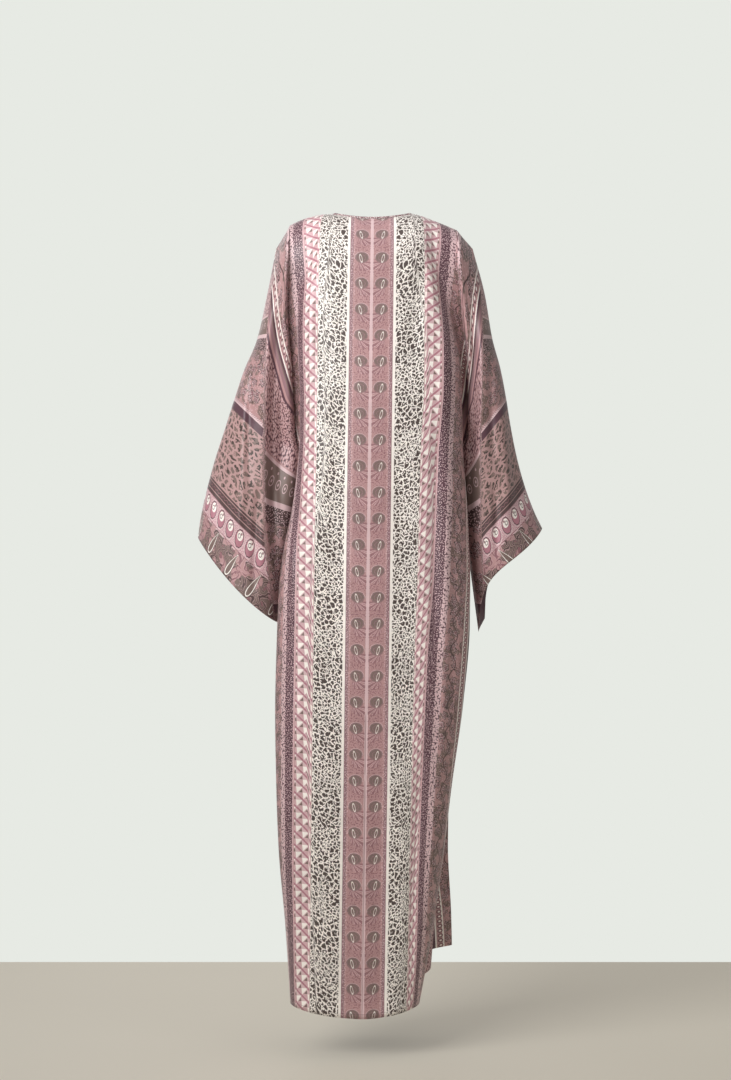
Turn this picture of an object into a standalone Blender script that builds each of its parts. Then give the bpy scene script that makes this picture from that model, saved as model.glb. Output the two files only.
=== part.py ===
"""A loose, wide-sleeved kaftan, hollow, in the pose in which it is worn. Metres, +Z up.

The front faces -Y. The origin is at the base of the neck, midway between the shoulders.
Each half of the cloth is one sheet: a body block from the centre to the side, and a sleeve block
that joins it down to the underarm. Both are worked out from the tables below.
"""
import bmesh
import bpy
import numpy as np

WALL = 0.002  # cloth thickness, hem allowances included
SEAM_GAP = 0.0010  # between the middles of two edges that are sewn together
UNDERARM_GAP = 0.0024  # more than that where body and sleeves part, and all four edges meet
UNDERARM_GAP_REACH = 0.035
EDGE_GAP = 0.0004  # between the binding and the cloth under it

NECK_HALF_WIDTH = 0.080
BACK_NECK_DROP = 0.014
FRONT_NECK_DROP = 0.150
SHOULDER_ROUND = 0.110  # height over which the cloth rolls over the shoulder
SHOULDER_LINE = {"left": (0.021, 2.0), "right": (0.030, 1.15)}  # drop to the body block's end, and its curve
CENTRE_AT_NECK = -0.0133  # the centre line hangs a little to one side
CENTRE_LEAN = 0.0126  # sideways shift for each metre down

BINDING_WIDTH = 0.006
BINDING_THICKNESS = 0.0034
BINDING_SIDES = 8

BODY_COLUMNS = 15  # from the centre to the side; NECK_SPLIT of them is a whole number
NECK_SPLIT = 0.4
ROWS_TO_UNDERARM = 14
ROWS_BELOW = 19
SLEEVE_COLUMNS = 12
EDGE_CROWDING = 0.55  # how much closer a sleeve's columns stand at its two long edges, where it turns
SLEEVE_ROWS = 27  # down to the cuff, the first ROWS_TO_UNDERARM of them joined to the body
UNDERARM_DROP = 0.460

# A row for each level of the body: how far out and how far back its cloth reaches.
# drop: below the neck base. back, front: depth at the centre. *_edge: half width of the panel as
# it hangs, left and right. *_turn: depth where the panel turns forward. *_seam: how far out the
# side seam lies. *_side: depth there. tuck: how far the side folds in.
BODY_FIELDS = (
    "drop back left_edge right_edge back_turn left_seam right_seam back_side tuck "
    "front left_front right_front front_turn front_side"
).split()
BODY = (
    (0.00, 0.092, 0.120, 0.124, 0.078, 0.156, 0.160, 0.074, 0.000, -0.070, 0.120, 0.124, -0.064, -0.058),
    (0.08, 0.098, 0.136, 0.142, 0.074, 0.158, 0.166, 0.066, 0.000, -0.088, 0.132, 0.138, -0.072, -0.060),
    (0.16, 0.106, 0.148, 0.158, 0.066, 0.160, 0.176, 0.050, 0.000, -0.108, 0.142, 0.152, -0.078, -0.054),
    (0.26, 0.114, 0.138, 0.168, 0.060, 0.151, 0.182, 0.032, 0.001, -0.126, 0.138, 0.164, -0.078, -0.044),
    (0.36, 0.119, 0.131, 0.172, 0.058, 0.145, 0.185, 0.016, 0.004, -0.126, 0.132, 0.168, -0.074, -0.034),
    (0.42, 0.120, 0.131, 0.174, 0.057, 0.141, 0.186, 0.002, 0.009, -0.123, 0.130, 0.168, -0.071, -0.022),
    (0.46, 0.120, 0.133, 0.176, 0.056, 0.132, 0.176, -0.010, 0.015, -0.121, 0.129, 0.164, -0.070, -0.010),
    (0.56, 0.120, 0.144, 0.185, 0.056, 0.121, 0.157, -0.010, 0.016, -0.120, 0.131, 0.160, -0.070, -0.010),
    (0.63, 0.120, 0.158, 0.189, 0.056, 0.128, 0.158, -0.011, 0.018, -0.121, 0.140, 0.164, -0.070, -0.011),
    (0.70, 0.120, 0.166, 0.192, 0.056, 0.138, 0.163, -0.013, 0.022, -0.122, 0.150, 0.170, -0.070, -0.013),
    (0.78, 0.119, 0.169, 0.192, 0.055, 0.147, 0.168, -0.016, 0.024, -0.124, 0.158, 0.176, -0.070, -0.016),
    (0.92, 0.117, 0.171, 0.182, 0.054, 0.156, 0.168, -0.022, 0.026, -0.126, 0.165, 0.175, -0.071, -0.022),
    (1.08, 0.114, 0.167, 0.162, 0.053, 0.153, 0.153, -0.028, 0.028, -0.129, 0.160, 0.161, -0.072, -0.028),
    (1.20, 0.111, 0.161, 0.149, 0.052, 0.147, 0.144, -0.034, 0.030, -0.132, 0.153, 0.161, -0.073, -0.034),
    (1.34, 0.108, 0.147, 0.131, 0.050, 0.138, 0.136, -0.042, 0.030, -0.135, 0.144, 0.169, -0.074, -0.042),
    (1.52, 0.104, 0.133, 0.101, 0.048, 0.128, 0.124, -0.050, 0.028, -0.138, 0.138, 0.175, -0.075, -0.050),
)

# A row for each stretch of the fold line along the top of the arm, from the shoulder to the cuff.
ARM_FIELDS = "along left_drop right_drop left_out right_out depth bulge".split()
ARM = (
    (0.00, 0.065, 0.065, 0.182, 0.191, 0.000, 0.000),
    (0.16, 0.152, 0.151, 0.198, 0.215, -0.005, 0.034),
    (0.31, 0.238, 0.236, 0.217, 0.231, -0.012, 0.052),
    (0.42, 0.295, 0.291, 0.241, 0.247, -0.018, 0.060),
    (0.53, 0.352, 0.346, 0.260, 0.259, -0.024, 0.064),
    (0.63, 0.409, 0.401, 0.278, 0.269, -0.030, 0.066),
    (0.74, 0.466, 0.456, 0.296, 0.281, -0.036, 0.068),
    (0.84, 0.523, 0.511, 0.311, 0.297, -0.042, 0.070),
    (0.94, 0.580, 0.565, 0.323, 0.318, -0.047, 0.072),
    (1.00, 0.612, 0.595, 0.327, 0.333, -0.050, 0.072),
)

# The seam under the arm, from the side seam's top to the cuff.
UNDER_FIELDS = "along left_drop right_drop left_out right_out depth".split()
UNDER = (
    (0.00, 0.460, 0.460, 0.132, 0.176, -0.010),
    (0.15, 0.505, 0.507, 0.136, 0.178, -0.009),
    (0.35, 0.566, 0.570, 0.143, 0.181, -0.008),
    (0.60, 0.646, 0.653, 0.155, 0.192, -0.007),
    (1.00, 0.774, 0.792, 0.171, 0.212, -0.006),
)

# Where the sleeve's own long fold runs, beside the body, and how far it steps down inside it.
FOLD_FIELDS = "drop left_out right_out step".split()
FOLD = (
    (0.06, 0.180, 0.196, 0.000),
    (0.15, 0.189, 0.206, 0.010),
    (0.27, 0.197, 0.210, 0.022),
    (0.44, 0.199, 0.209, 0.030),
    (0.60, 0.195, 0.212, 0.026),
    (0.70, 0.184, 0.217, 0.012),
    (0.78, 0.174, 0.220, 0.000),
)
FOLD_SOFT = 0.020  # width over which it steps down

# How far the cuff's middle hangs below the straight line between its two corners.
CUFF_SAG = {
    ("back", "left"): 0.016,
    ("back", "right"): -0.072,
    ("front", "left"): 0.006,
    ("front", "right"): -0.070,
}
CUFF_SAG_FROM = {"back": 0, "front": 0.12}  # share of the cuff, from its lower corner, that stays straight

# Hem height at the centre, at the panel's edge and at the side seam.
HEM = {"back": (1.508, 1.488, 1.430), "front": (1.396, 1.400, 1.430)}

# Places across half the body, 0 at the centre and 1 at the side, of the points in its section.
SECTION_PLACES = (0, 0.26, 0.50, 0.66, 0.82, 0.96, 1)

VALLEY_OPENS = 0.26  # height over which the flat shoulder turns into a valley beside the sleeve
VALLEY_CLOSES = 0.06  # height over which the valley beside the sleeve narrows to the side seam

# Soft upright waves down the hidden front: place across, width, depth, and where they start and end.
WAVE_FIELDS = "across width depth start end".split()
WAVES = (
    (-0.105, 0.030, 0.016, 0.30, 1.60),
    (-0.045, 0.026, 0.012, 0.42, 1.60),
    (0.020, 0.028, 0.010, 0.36, 1.60),
    (0.082, 0.030, 0.017, 0.28, 1.60),
)

SIDES = {"left": 1, "right": -1}  # +X is the wearer's left
FACES = {"back": 1, "front": -1}
CLOTH = (0.43, 0.29, 0.31, 1.0)
CLOTH_FRONT = (0.40, 0.27, 0.29, 1.0)
TRIM = (0.62, 0.45, 0.47, 1.0)


def clear_scene():
    for thing in list(bpy.data.objects):
        bpy.data.objects.remove(thing)


def smooth(knots, values, at, level_start=False):
    """Values between the knots, rounded but never past them. The last axis follows the knots."""
    knots = np.asarray(knots, float)
    values = np.asarray(values, float)
    at = np.clip(np.asarray(at, float), knots[0], knots[-1])
    rise = np.diff(values, axis=-1) / np.diff(knots)
    before, after = rise[..., :-1], rise[..., 1:]
    product = before * after
    slope = np.concatenate([rise[..., :1], np.zeros_like(before), rise[..., -1:]], axis=-1)
    np.divide(2 * product, before + after, out=slope[..., 1:-1], where=product > 0)
    if level_start:
        slope[..., 0] = 0
    cell = np.clip(np.searchsorted(knots, at) - 1, 0, len(knots) - 2)
    width = knots[cell + 1] - knots[cell]
    f = (at - knots[cell]) / width
    return (
        values[..., cell] * (1 + 2 * f) * (1 - f) ** 2
        + values[..., cell + 1] * (3 - 2 * f) * f**2
        + slope[..., cell] * width * f * (1 - f) ** 2
        - slope[..., cell + 1] * width * (1 - f) * f**2
    )


def reader(fields, rows):
    """A function that reads one named column of a table at any place along its first column."""
    columns = dict(zip(fields, np.array(rows).T))
    keys = columns[fields[0]]
    return lambda name, at: smooth(keys, columns[name], at)


body_at = reader(BODY_FIELDS, BODY)
arm_at = reader(ARM_FIELDS, ARM)
under_at = reader(UNDER_FIELDS, UNDER)
fold_at = reader(FOLD_FIELDS, FOLD)


def ease(f):
    f = np.clip(f, 0, 1)
    return f * f * (3 - 2 * f)


def centre_line(drop):
    return CENTRE_AT_NECK + CENTRE_LEAN * drop


def seam_shift(face, drop):
    near = np.exp(-(((drop - UNDERARM_DROP) / UNDERARM_GAP_REACH) ** 2))
    return FACES[face] * (SEAM_GAP + (UNDERARM_GAP - SEAM_GAP) * near) / 2


def top_edge(face, side, across):
    """(out, drop, drop of the shoulder line) along the neck and shoulder, from the centre outwards."""
    shoulder_width = body_at(side + "_seam", 0) - NECK_HALF_WIDTH
    inner = np.clip(across / NECK_SPLIT, 0, 1)
    share = np.clip((across - NECK_SPLIT) / (1 - NECK_SPLIT), 0, 1)
    out = NECK_HALF_WIDTH * inner + shoulder_width * share
    shoulder_drop, curve = SHOULDER_LINE[side]
    shoulder = shoulder_drop * share**curve
    if face == "back":
        neck = BACK_NECK_DROP * (1 - inner**2)
    else:
        neck = FRONT_NECK_DROP * (1 - inner**1.5)
    return out, neck + shoulder, shoulder


def hem_drop(face, across):
    return smooth((0, 0.65, 1), HEM[face], across, level_start=True)


def section(face, side, across, drop):
    """(out, depth) of the body cloth at one place across and any drops."""
    edge = body_at(side + ("_edge" if face == "back" else "_front"), drop)
    middle = body_at(face, drop)
    turn = body_at(face + "_turn", drop)
    seam = body_at(side + "_seam", drop)
    at_side = body_at(face + "_side", drop)
    fall = middle - turn
    tuck = body_at("tuck", drop) * (1 if face == "back" else 0.5)
    straight = 0.12 * (turn - at_side)
    sewn = ease((drop - UNDERARM_DROP + VALLEY_CLOSES) / VALLEY_CLOSES)
    last = seam - (1 - sewn) * 0.35 * (seam - edge)
    flat = 1 - ease(drop / VALLEY_OPENS)
    wall = np.minimum(edge, seam) - tuck + flat * (seam - edge) / 2
    out = (0 * edge, 0.42 * edge, 0.80 * edge, edge, wall, last, seam)
    depth = (
        middle,
        middle - 0.05 * fall,
        middle - 0.26 * fall,
        turn,
        (turn + at_side) / 2,
        at_side + straight,
        at_side,
    )
    return (
        smooth(SECTION_PLACES, np.stack(out, -1), across),
        smooth(SECTION_PLACES, np.stack(depth, -1), across, level_start=True),
    )


def waves(x, drop):
    """How far the front's folds push the cloth back."""
    total = 0
    for row in WAVES:
        fold = dict(zip(WAVE_FIELDS, row))
        fade = ease((drop - fold["start"]) / 0.3) * ease((fold["end"] - drop) / 0.2)
        total = total + fold["depth"] * fade * np.exp(-(((x - fold["across"]) / fold["width"]) ** 2))
    return total


def body_block(face, side, columns=BODY_COLUMNS):
    """Points of half the body: rows from the shoulder to the hem, columns from the centre out."""
    upper = (np.arange(ROWS_TO_UNDERARM + 1) / ROWS_TO_UNDERARM) ** 1.35
    lower = np.arange(1, ROWS_BELOW + 1) / ROWS_BELOW
    points = np.zeros((len(upper) + len(lower), columns + 1, 3))
    for i in range(columns + 1):
        across = i / columns
        top_out, top_drop, shoulder = top_edge(face, side, across)
        hem = hem_drop(face, across)
        drop = np.concatenate([
            top_drop + (UNDERARM_DROP - top_drop) * upper,
            UNDERARM_DROP + (hem - UNDERARM_DROP) * lower,
        ])
        out, depth = section(face, side, across, drop)
        settle = ease((drop - top_drop) / 0.30)
        roll = 1 - np.clip((drop - shoulder) / SHOULDER_ROUND, 0, 1)
        x = SIDES[side] * (top_out + (out - top_out) * settle)
        depth = depth * (1 - roll**2.2) ** (1 / 2.2) + seam_shift(face, drop)
        if face == "front":
            depth = depth + waves(x, drop) * ease((1 - across) / 0.3)
        points[:, i] = np.stack([x + centre_line(drop), depth, -drop], -1)
    return points


def edge_points(face, side, table, along):
    """Points of a sleeve's long edge, on its own side of the seam."""
    drop = table(side + "_drop", along)
    x = SIDES[side] * table(side + "_out", along) + centre_line(drop)
    return np.stack([x, table("depth", along) + seam_shift(face, drop), -drop], -1)


def sleeve_block(face, side, inner, columns=SLEEVE_COLUMNS):
    """Points of a sleeve: rows from the shoulder to the cuff, columns from the body out to the arm's top."""
    along = np.arange(SLEEVE_ROWS + 1) / SLEEVE_ROWS
    outer = edge_points(face, side, arm_at, along)
    past = np.linspace(0, 1, SLEEVE_ROWS - ROWS_TO_UNDERARM + 1)[1:]
    under = edge_points(face, side, under_at, past)
    inner = np.concatenate([inner[: ROWS_TO_UNDERARM + 1], under])
    out = np.arange(columns + 1) / columns
    out = out - EDGE_CROWDING * np.sin(2 * np.pi * out) / (2 * np.pi)
    bow = (1 - np.abs(2 * out - 1) ** 2.3) ** (1 / 2.3)
    points = inner[:, None] + (outer - inner)[:, None] * out[None, :, None]
    points[..., 1] += FACES[face] * arm_at("bulge", along)[:, None] * bow
    start = CUFF_SAG_FROM[face]
    hang = np.clip((out - start) / (1 - start), 0, 1) ** 0.42
    if side == "right":
        bend = 4 * hang * (1 - hang) * np.sqrt(1 - out)
    else:
        bend = 4 * out * (1 - out)
    points[..., 2] -= CUFF_SAG[face, side] * (along**3)[:, None] * bend
    if face == "back":
        drop = -points[..., 2]
        from_centre = SIDES[side] * (points[..., 0] - centre_line(drop))
        inside = ease((fold_at(side + "_out", drop) - from_centre) / FOLD_SOFT)
        points[..., 1] -= fold_at("step", drop) * inside * np.minimum(1, 4 * out)
    return points


def join_blocks(mesh, blocks):
    """Grids that share edges, made into one open sheet."""
    for rows in blocks:
        made = [[mesh.verts.new(point) for point in row] for row in rows]
        for upper, lower in zip(made, made[1:]):
            for a, b, c, d in zip(upper, upper[1:], lower[1:], lower):
                mesh.faces.new((a, b, c, d))
    bmesh.ops.remove_doubles(mesh, verts=mesh.verts, dist=0.00001)
    bmesh.ops.recalc_face_normals(mesh, faces=mesh.faces)


def material(name, colour, roughness):
    made = bpy.data.materials.new(name)
    made.use_nodes = True
    shader = made.node_tree.nodes["Principled BSDF"]
    shader.inputs["Base Color"].default_value = colour
    shader.inputs["Roughness"].default_value = roughness
    shader.inputs["Metallic"].default_value = 0
    made.diffuse_color = colour
    return made


def add_object(name, mesh, collection, look):
    data = bpy.data.meshes.new(name)
    mesh.to_mesh(data)
    mesh.free()
    made = bpy.data.objects.new(name, data)
    made.data.materials.append(look)
    collection.objects.link(made)
    return made


def panel(face, collection, look):
    """The back or the front, each cut in one piece with its half of both sleeves."""
    mesh = bmesh.new()
    blocks = []
    for side in SIDES:
        body = body_block(face, side)
        blocks += [body, sleeve_block(face, side, body[:, -1])]
    join_blocks(mesh, blocks)
    made = add_object(face, mesh, collection, look)
    wall = made.modifiers.new("wall", "SOLIDIFY")
    wall.thickness = WALL
    wall.offset = 0
    return made


def unit(vectors):
    return vectors / np.linalg.norm(vectors, axis=-1, keepdims=True)


def neck_route():
    """The neck edge as a closed loop of points, and the way the cloth faces across each stretch."""
    count = round(BODY_COLUMNS * NECK_SPLIT)
    edges, insides = [], []
    for face, side in (("back", "left"), ("front", "left"), ("front", "right"), ("back", "right")):
        rows = body_block(face, side)[:2, : count + 1]
        if (face, side) in (("front", "left"), ("back", "right")):
            rows = rows[:, ::-1]
        edges.append(rows[0, :-1])
        insides.append((rows[1, :-1] + rows[1, 1:]) / 2)
    edge = np.concatenate(edges)
    ahead = unit(np.roll(edge, -1, 0) - edge)
    up = (edge + np.roll(edge, -1, 0)) / 2 - np.concatenate(insides)
    up = unit(up - ahead * (up * ahead).sum(1, keepdims=True))
    return edge, ahead, up


def binding(collection, look):
    """The narrow band that finishes the neck, a ring of oval sections just above the cloth's edge."""
    edge, ahead, up = neck_route()
    mitre = unit(up + np.roll(up, 1, 0))
    reach = 1 / (mitre * up).sum(1, keepdims=True)
    across = unit(np.cross(unit(ahead + np.roll(ahead, 1, 0)), mitre))
    middles = edge + mitre * reach * (BINDING_WIDTH / 2 + EDGE_GAP)
    angles = np.linspace(0, 2 * np.pi, BINDING_SIDES, endpoint=False)
    mesh = bmesh.new()
    rings = []
    rises = mitre * reach * BINDING_WIDTH / 2
    for middle, rise, out in zip(middles, rises, across * BINDING_THICKNESS / 2):
        oval = [middle + rise * np.cos(angle) + out * np.sin(angle) for angle in angles]
        rings.append([mesh.verts.new(point) for point in oval])
    for first, second in zip(rings, rings[1:] + rings[:1]):
        for n in range(BINDING_SIDES):
            after = (n + 1) % BINDING_SIDES
            mesh.faces.new((first[n], first[after], second[after], second[n]))
    bmesh.ops.recalc_face_normals(mesh, faces=mesh.faces)
    return add_object("neck_binding", mesh, collection, look)


def main():
    clear_scene()
    collection = bpy.data.collections.new("kaftan")
    bpy.context.scene.collection.children.link(collection)
    panel("back", collection, material("satin_back", CLOTH, 0.42))
    panel("front", collection, material("satin_front", CLOTH_FRONT, 0.42))
    binding(collection, material("satin_binding", TRIM, 0.45))


main()
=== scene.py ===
"""A long satin kaftan with wide sleeves, as worn, seen from the back.

Metres, +Z up, front facing -Y. The places and sizes of the print are in millimetres of cloth.
"""

import bmesh
import bpy
import numpy as np
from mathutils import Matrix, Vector


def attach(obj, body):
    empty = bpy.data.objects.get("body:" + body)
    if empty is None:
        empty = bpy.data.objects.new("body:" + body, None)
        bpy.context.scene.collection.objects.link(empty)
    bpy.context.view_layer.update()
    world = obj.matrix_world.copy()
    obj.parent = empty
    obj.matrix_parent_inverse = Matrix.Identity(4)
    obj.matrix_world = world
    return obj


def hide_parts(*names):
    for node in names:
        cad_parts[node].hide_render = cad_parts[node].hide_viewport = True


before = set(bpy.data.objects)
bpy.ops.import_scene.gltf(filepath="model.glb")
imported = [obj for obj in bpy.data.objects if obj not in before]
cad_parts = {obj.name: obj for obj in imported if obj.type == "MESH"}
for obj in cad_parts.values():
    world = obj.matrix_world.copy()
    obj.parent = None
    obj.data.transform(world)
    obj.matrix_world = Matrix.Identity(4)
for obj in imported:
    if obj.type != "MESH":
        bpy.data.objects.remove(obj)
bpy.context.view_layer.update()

bl_info = {
    "name": "Satin kaftan",
    "version": (1, 0, 0),
    "blender": (4, 5, 0),
    "location": "View3D > Sidebar > Kaftan",
    "description": "Dresses the packed kaftan: printed satin sheets, neck binding and a plain studio",
    "category": "Add Mesh",
}

# The pattern of the garment as worn: these sizes are those of the solids.
SEAM_GAP = 0.0010
UNDERARM_GAP = 0.0024
UNDERARM_GAP_REACH = 0.035
NECK_HALF_WIDTH = 0.080
NECK_DROP = {"back": (0.014, 2), "front": (0.150, 1.5)}  # depth at the centre, and its curve
SHOULDER_ROUND = 0.110
SHOULDER_CURVE = 2.2  # how squarely the cloth rolls over the shoulder
SHOULDER_LINE = {"left": (0.021, 2.0), "right": (0.030, 1.15)}  # drop to its outer end, and its curve
SETTLE_DROP = 0.30  # drop over which the cloth takes on the body's width
CENTRE_AT_NECK = -0.0133
CENTRE_LEAN = 0.0126  # sideways shift for each metre down
EDGE_GAP = 0.0004  # between the binding and the cloth under it
SAME_POINT = 0.00001  # points this close are one
UNDERARM_DROP = 0.460
FOLD_SOFT = 0.020  # width over which the sleeve's long fold steps down
NECK_SPLIT = 0.4  # share of the body's columns that end at the neck
ROWS_TO_UNDERARM = 14
ROW_CROWDING = 1.35  # rows lie closer near the shoulder
ROWS_BELOW = 19
SLEEVE_ROWS = 27
BODY_COLUMNS = 15
SLEEVE_COLUMNS = 12
EDGE_CROWDING = 0.55
BULGE_CURVE = 2.3  # how squarely a sleeve bulges between its edges
VALLEY_OPENS = 0.26
VALLEY_CLOSES = 0.06

# The next four tables are in thousandths: of a metre, or of the whole length in a column "along".
# A row for each level of the body: how far out and how far back its cloth reaches.
# drop: below the neck base. back, front: depth at the centre. *_edge: half width of the panel as
# it hangs, left and right. *_turn: depth where the panel turns forward. *_seam: how far out the
# side seam lies. *_side: depth there. tuck: how far the side folds in.
BODY_FIELDS = (
    "drop back left_edge right_edge back_turn left_seam right_seam back_side tuck "
    "front left_front right_front front_turn front_side"
).split()
BODY = (
    (   0,  92, 120, 124, 78, 156, 160,  74,  0,  -70, 120, 124, -64, -58),
    (  80,  98, 136, 142, 74, 158, 166,  66,  0,  -88, 132, 138, -72, -60),
    ( 160, 106, 148, 158, 66, 160, 176,  50,  0, -108, 142, 152, -78, -54),
    ( 260, 114, 138, 168, 60, 151, 182,  32,  1, -126, 138, 164, -78, -44),
    ( 360, 119, 131, 172, 58, 145, 185,  16,  4, -126, 132, 168, -74, -34),
    ( 420, 120, 131, 174, 57, 141, 186,   2,  9, -123, 130, 168, -71, -22),
    ( 460, 120, 133, 176, 56, 132, 176, -10, 15, -121, 129, 164, -70, -10),
    ( 560, 120, 144, 185, 56, 121, 157, -10, 16, -120, 131, 160, -70, -10),
    ( 630, 120, 158, 189, 56, 128, 158, -11, 18, -121, 140, 164, -70, -11),
    ( 700, 120, 166, 192, 56, 138, 163, -13, 22, -122, 150, 170, -70, -13),
    ( 780, 119, 169, 192, 55, 147, 168, -16, 24, -124, 158, 176, -70, -16),
    ( 920, 117, 171, 182, 54, 156, 168, -22, 26, -126, 165, 175, -71, -22),
    (1080, 114, 167, 162, 53, 153, 153, -28, 28, -129, 160, 161, -72, -28),
    (1200, 111, 161, 149, 52, 147, 144, -34, 30, -132, 153, 161, -73, -34),
    (1340, 108, 147, 131, 50, 138, 136, -42, 30, -135, 144, 169, -74, -42),
    (1520, 104, 133, 101, 48, 128, 124, -50, 28, -138, 138, 175, -75, -50),
)

# A row for each stretch of the fold line along the top of the arm, from the shoulder to the cuff.
ARM_FIELDS = "along left_drop right_drop left_out right_out depth bulge".split()
ARM = (
    (   0,  65,  65, 182, 191,   0,  0),
    ( 160, 152, 151, 198, 215,  -5, 34),
    ( 310, 238, 236, 217, 231, -12, 52),
    ( 420, 295, 291, 241, 247, -18, 60),
    ( 530, 352, 346, 260, 259, -24, 64),
    ( 630, 409, 401, 278, 269, -30, 66),
    ( 740, 466, 456, 296, 281, -36, 68),
    ( 840, 523, 511, 311, 297, -42, 70),
    ( 940, 580, 565, 323, 318, -47, 72),
    (1000, 612, 595, 327, 333, -50, 72),
)

# The seam under the arm, from the side seam's top to the cuff.
UNDER_FIELDS = "along left_drop right_drop left_out right_out depth".split()
UNDER = (
    (   0, 460, 460, 132, 176, -10),
    ( 150, 505, 507, 136, 178,  -9),
    ( 350, 566, 570, 143, 181,  -8),
    ( 600, 646, 653, 155, 192,  -7),
    (1000, 774, 792, 171, 212,  -6),
)

# Where the sleeve's own long fold runs, beside the body, and how far it steps down inside it.
FOLD_FIELDS = "drop left_out right_out step".split()
FOLD = (
    ( 60, 180, 196,  0),
    (150, 189, 206, 10),
    (270, 197, 210, 22),
    (440, 199, 209, 30),
    (600, 195, 212, 26),
    (700, 184, 217, 12),
    (780, 174, 220,  0),
)
# How far the cuff's middle hangs below the straight line between its two corners.
CUFF_SAG = {
    ("back", "left"): 0.016,
    ("back", "right"): -0.072,
    ("front", "left"): 0.006,
    ("front", "right"): -0.070,
}
# Share of the cuff, from its lower corner, that stays straight, and how fast its hang begins.
CUFF_SAG_FROM = {"back": 0, "front": 0.12}
CUFF_HANG = 0.42

# Hem height at the centre, at the panel's edge and at the side seam, and where these lie across.
HEM = {"back": (1.508, 1.488, 1.430), "front": (1.396, 1.400, 1.430)}
HEM_PLACES = (0, 0.65, 1)

# Places across half the body, 0 at the centre and 1 at the side, of the points in its section.
# The second and third lie at these shares of the panel's width, and of the fall to where it turns.
SECTION_PLACES = (0, 0.26, 0.50, 0.66, 0.82, 0.96, 1)
SECTION_OUT = (0.42, 0.80)
SECTION_FALL = (0.05, 0.26)
TUCK_SHARE = {"back": 1, "front": 0.5}
SIDE_STRAIGHT = 0.12  # share of the side's depth that runs straight into the seam
SIDE_LAP = 0.35  # share by which the unsewn side, above the underarm, laps towards the panel

# Soft upright waves down the hidden front: place across, width, depth, and where they start and end.
WAVE_FIELDS = "across width depth start end".split()
WAVE_FADES = (0.3, 0.2)  # drop over which a wave starts and ends
WAVES_END = 0.3  # share of the front's width beside its seam over which the waves fade
WAVES = (
    (-0.105, 0.030, 0.016, 0.30, 1.60),
    (-0.045, 0.026, 0.012, 0.42, 1.60),
    (0.020, 0.028, 0.010, 0.36, 1.60),
    (0.082, 0.030, 0.017, 0.28, 1.60),
)

SIDES = {"left": 1, "right": -1}  # +X is the wearer's left
FACES = {"back": 1, "front": -1}

# Soft troughs and ridges pressed into the hanging cloth, in millimetres: places out from the centre
# line and drops below the neck base. height is towards the garment's outside, bend a sideways bow.
CREASE_FIELDS = "start_out start_drop end_out end_drop bend width height".split()
CREASES = {
    ("back", "left"): (
        (128, 420, 131, 980, 4, 7.5, -4.9), (149, 600, 145, 1340, -4, 6, -4.1),
        (139, 550, 138, 1100, 3, 6, 3), (112, 880, 104, 1560, 6, 9.5, -4.1),
        (62, 300, 78, 1020, -10, 20, -3), (30, 920, 22, 1600, 8, 18, -3.5),
        (104, 70, 70, 340, 10, 13, -3.2), (124, 100, 116, 460, -6, 10, 2.7),
        (216, 240, 228, 520, 6, 7, -6.1), (236, 300, 252, 660, -6, 10, 6.8),
        (262, 400, 285, 620, 5, 11, -5.7), (205, 500, 214, 740, 4, 6, -6.5),
        (176, 300, 172, 600, 5, 5.5, 5.7),
    ),
    ("back", "right"): (
        (127, 340, 125, 860, -4, 8, -5.4), (160, 500, 153, 1020, 4, 6.5, -4.6),
        (143, 440, 140, 1120, 3, 7, 3.5), (108, 960, 88, 1580, -6, 9.5, -4.6),
        (128, 1060, 110, 1580, 4, 7, 3.8), (50, 360, 64, 1100, 10, 21, -3),
        (26, 1000, 40, 1600, -6, 17, -3.2), (112, 60, 76, 320, -10, 13, -3.5),
        (138, 100, 126, 440, 6, 10, 3), (228, 240, 238, 500, -6, 7, -6.5),
        (244, 340, 262, 600, 6, 9.5, 6.8), (262, 380, 292, 580, -4, 10, -5.7),
        (232, 500, 240, 660, 4, 6, -5.7),
    ),
    ("front", "left"): (
        (60, 220, 92, 860, 10, 11, -5.4), (112, 300, 108, 1200, -6, 9, -4.9),
        (30, 600, 50, 1500, 8, 14, 4.6), (216, 260, 236, 660, 8, 10, -6.8),
        (258, 360, 280, 640, -6, 11, 5.7),
    ),
    ("front", "right"): (
        (66, 240, 90, 920, -10, 11, -5.1), (124, 340, 116, 1260, 6, 9, -4.9),
        (24, 660, 56, 1500, -8, 14, 4.3), (228, 260, 246, 620, -8, 10, -6.8),
        (262, 360, 284, 600, 6, 11, 5.7),
    ),
}
CREASE_FADE = 0.25  # share of a crease's length over which each end fades
SEAM_FADE = 0.10  # share of the cloth's width beside a seam that creases leave alone

# Drops, and the distances over the cloth from the centre back at which the print crosses the fold
# along the top of the arm.
ARM_PRINT = np.array((
    (65, 152, 209, 238, 295, 352, 409, 466, 523, 580, 614),
    (208, 297, 356, 385, 447, 507, 567, 628, 686.5, 745, 779),
)) / 1000
# The same inside the sleeve's long fold, at its outer edge and beside the body.
CREASE_PRINT = np.array((
    (67, 162, 257, 352, 439, 542, 656, 732, 800),
    (200, 240, 270, 310, 345, 380, 450, 500, 560),
)) / 1000
VALLEY_PRINT = np.array((
    (67, 162, 257, 352, 447, 494, 561, 656, 732, 800),
    (160, 175, 200, 235, 320, 345, 380, 450, 500, 560),
)) / 1000
CUFF_PRINT = 0.779  # where the print ends at the cuff, under the arm
LEAST_VALLEY = 0.004  # width that the cloth inside that fold is taken to have at least
INNER_PRINT_SLANT = 0.35  # how steeply the print runs inside the sleeve's long fold
FRONT_PRINT_CURVE = 0.8
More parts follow.
